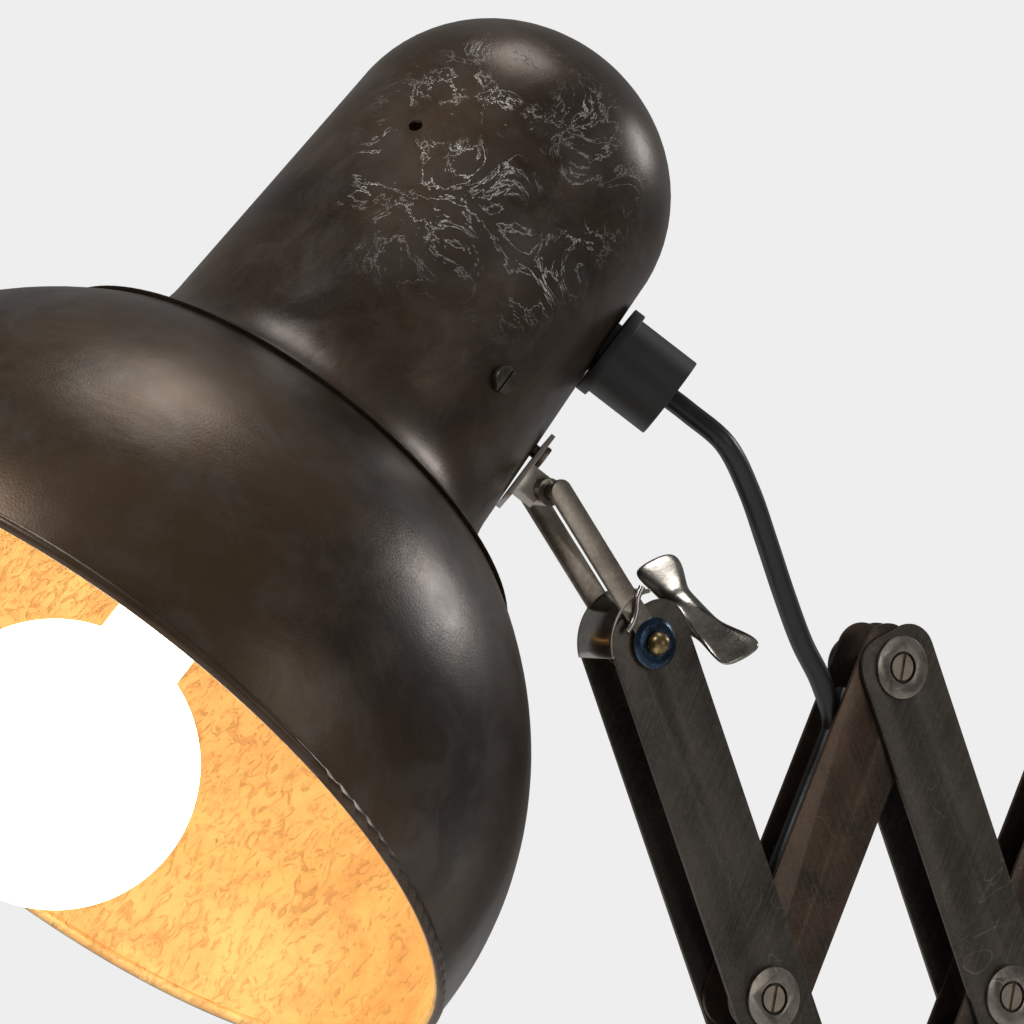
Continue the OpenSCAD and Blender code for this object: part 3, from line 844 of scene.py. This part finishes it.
@dataclass
class LockScrew:
    """The wing screw at the arm's tip, one polished casting."""

    hub_out: float = 15.2
    hub_long: float = 11.0
    tilt: float = -45.0

    def build(self) -> None:
        """Extrudes the wings out of the hub, rounds them and dresses the casting."""
        bpy.ops.object.select_all(action="DESELECT")
        bpy.ops.mesh.primitive_cube_add(size=1)
        piece = bpy.context.object
        piece.name = "wing_screw_casting"
        piece.scale = (self.hub_long * MM, 8.4 * MM, 9.0 * MM)
        alone(piece)
        bpy.ops.object.transform_apply(location=True, rotation=True, scale=True)
        for sign in (1, -1):
            self._pull_wing(piece, sign)
        alone(piece)
        smooth = piece.modifiers.new("cast", "SUBSURF")
        smooth.levels = smooth.render_levels = 3
        bpy.ops.object.modifier_apply(modifier=smooth.name)
        self._place(piece)
        WARDROBE.dress(piece, "polished")
        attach(piece, "lock_screw")
        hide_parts("wing_screw")
        bpy.ops.object.select_all(action="DESELECT")
        bpy.ops.mesh.primitive_cylinder_add(vertices=32, radius=2.9 * MM, depth=12 * MM)
        rod = bpy.context.object
        rod.name = "wing_screw_shank"
        rod.rotation_euler = (0, math.pi / 2, 0)
        rod.location = (-6 * MM, 0, 0)
        settle(rod)
        self._place(rod)
        WARDROBE.dress(rod, "steel")
        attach(rod, "lock_screw")

    def _pull_wing(self, piece: bpy.types.Object, sign: int) -> None:
        """Extrudes one wing in steps from the hub's end face.

        Args:
            piece: The casting.
            sign: 1 for the upper wing and -1 for the lower one.
        """
        alone(piece)
        bpy.ops.object.mode_set(mode="EDIT")
        bpy.ops.mesh.select_mode(type="FACE")
        bpy.ops.mesh.select_all(action="DESELECT")
        bpy.ops.object.mode_set(mode="OBJECT")
        for face in piece.data.polygons:
            face.select = face.normal.z * sign > 0.9
        bpy.ops.object.mode_set(mode="EDIT")
        for dx, dz, wide, thin in ((1.2, 3.5, 0.95, 0.5), (1.6, 5.5, 1.45, 0.75), (0.8, 5.5, 1.15, 0.9),
                                   (-0.6, 2.2, 0.62, 0.6)):
            bpy.ops.mesh.extrude_region_move(
                TRANSFORM_OT_translate={"value": (dx * MM, 0.0, dz * sign * MM)})
            bpy.ops.transform.resize(value=(wide, thin, 1.0))
        bpy.ops.object.mode_set(mode="OBJECT")

    def _place(self, piece: bpy.types.Object) -> None:
        """Turns a piece about the screw's axis and sets it on the bar's edge.

        Args:
            piece: The piece, made along X at the origin.
        """
        out = Vector((self.hub_out + self.hub_long / 2, 0, 0)) * MM
        lean = Matrix.Rotation(-(math.pi / 2 - BAR_SLOPE), 4, "Y")
        turn = lean @ Matrix.Translation(out) @ Matrix.Rotation(math.radians(self.tilt), 4, "X")
        piece.matrix_world = Matrix.Translation(TILT * MM) @ turn
        settle(piece, 50)


@dataclass
class LinkLip:
    """The curled lip and the bright ridge that the tilt link is pressed with round the pivot."""

    radius: float = 15.0
    front: float = -10.0
    rear: float = 6.0

    def build(self) -> None:
        """Bends the lip and the ridge and puts them on the head."""
        lip = [TILT + Vector((self.radius * math.cos(math.radians(a)), (self.front + self.rear) / 2,
                              self.radius * math.sin(math.radians(a)))) for a in range(118, 200, 8)]
        self._finish(strip("link_lip", lip, Vector((0, 1, 0)), self.rear - self.front, 1.3, 0.5))
        ridge = [TILT + Vector((x, self.front - 0.6, z)) for x, z in (
            (-5.6, 16.0), (-7.2, 12.5), (-7.4, 9.0), (-8.6, 5.6), (-10.6, 3.0))]
        self._finish(tube("link_ridge", smooth_line(ridge), 1.0))

    def _finish(self, piece: bpy.types.Object) -> None:
        """Dresses a piece of the link and rides it on the head."""
        WARDROBE.dress(piece, "polished")
        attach(piece, "head")


class Plain:
    """Dresses the CAD nodes that keep their own shape."""

    FINISH: dict[str, str] = {
        "shade": "shade", "neck_bead": "shade", "hood": "shade", "bulb_glass": "bulb",
        "bulb_cap": "brass", "gland": "rubber", "clip": "link", "clip_screw": "head_screw",
        "hood_screws": "head_dark", "link": "link", "pivot_bolt": "brass", "spring_washer": "blue",
        "wing_screw": "polished", "screw_block": "steel", "lampholder": "porcelain",
        "holder_collar": "porcelain", "holder_bracket": "steel", "clamp_frame": "paint",
        "turret": "paint", "slider_block": "paint", "clamp_screw": "steel", "clamp_handle": "steel",
        "clamp_pad": "steel", "spindle_tube": "steel", "spindle_cap": "rubber",
        "stop_collar": "steel", "slider_pin": "ring", "strain_relief": "rubber",
        "mains_plug": "rubber", "plug_pins": "brass",
    }

    ROUNDING: dict[str, float] = {
        "shade": 0.0, "hood": 0.0, "neck_bead": 0.3, "gland": 0.9, "link": 0.35, "clip": 0.3,
        "clip_screw": 0.4, "hood_screws": 0.5, "spring_washer": 0.2, "pivot_bolt": 0.0,
        "clamp_frame": 1.2, "turret": 0.8, "slider_block": 0.8, "bulb_glass": 0.0,
        "stop_collar": 0.6, "spindle_cap": 0.6, "clamp_pad": 0.5,
    }

    def build(self) -> None:
        """Puts a finish on every CAD node, and rounds the ones whose edges show."""
        for name, node in frame["nodes"].items():
            finish = self.FINISH.get(name)
            if finish is None:
                finish = self._by_ending(name)
            WARDROBE.dress(node, finish)
            if name in self.ROUNDING:
                rounded_copy(name, self.ROUNDING[name], finish)
            elif name.endswith(("_front", "_rear")):
                rounded_copy(name, 0.25, finish)
            elif name.endswith("_rings"):
                rounded_copy(name, 0.35, finish)

    def _by_ending(self, name: str) -> str:
        """Returns the finish of an arm or cord node from its name.

        Args:
            name: The node's name.

        Returns:
            The name of its finish.
        """
        if name.endswith("_rings"):
            return "ring"
        if name.endswith(("_pins", "_sleeves")):
            return "head_screw"
        if name.startswith("outer"):
            return "front"
        return "inner" if name.startswith("inner") else "cord"


def main() -> None:
    """Builds the scene in order and reports each step."""
    for step in (Studio(), Cords(), Plain(), LockScrew(), LinkLip()):
        step.build()
        LOG.info("built %s", type(step).__name__)


if __name__ == "__main__":
    logging.basicConfig(level=logging.INFO)
    main()
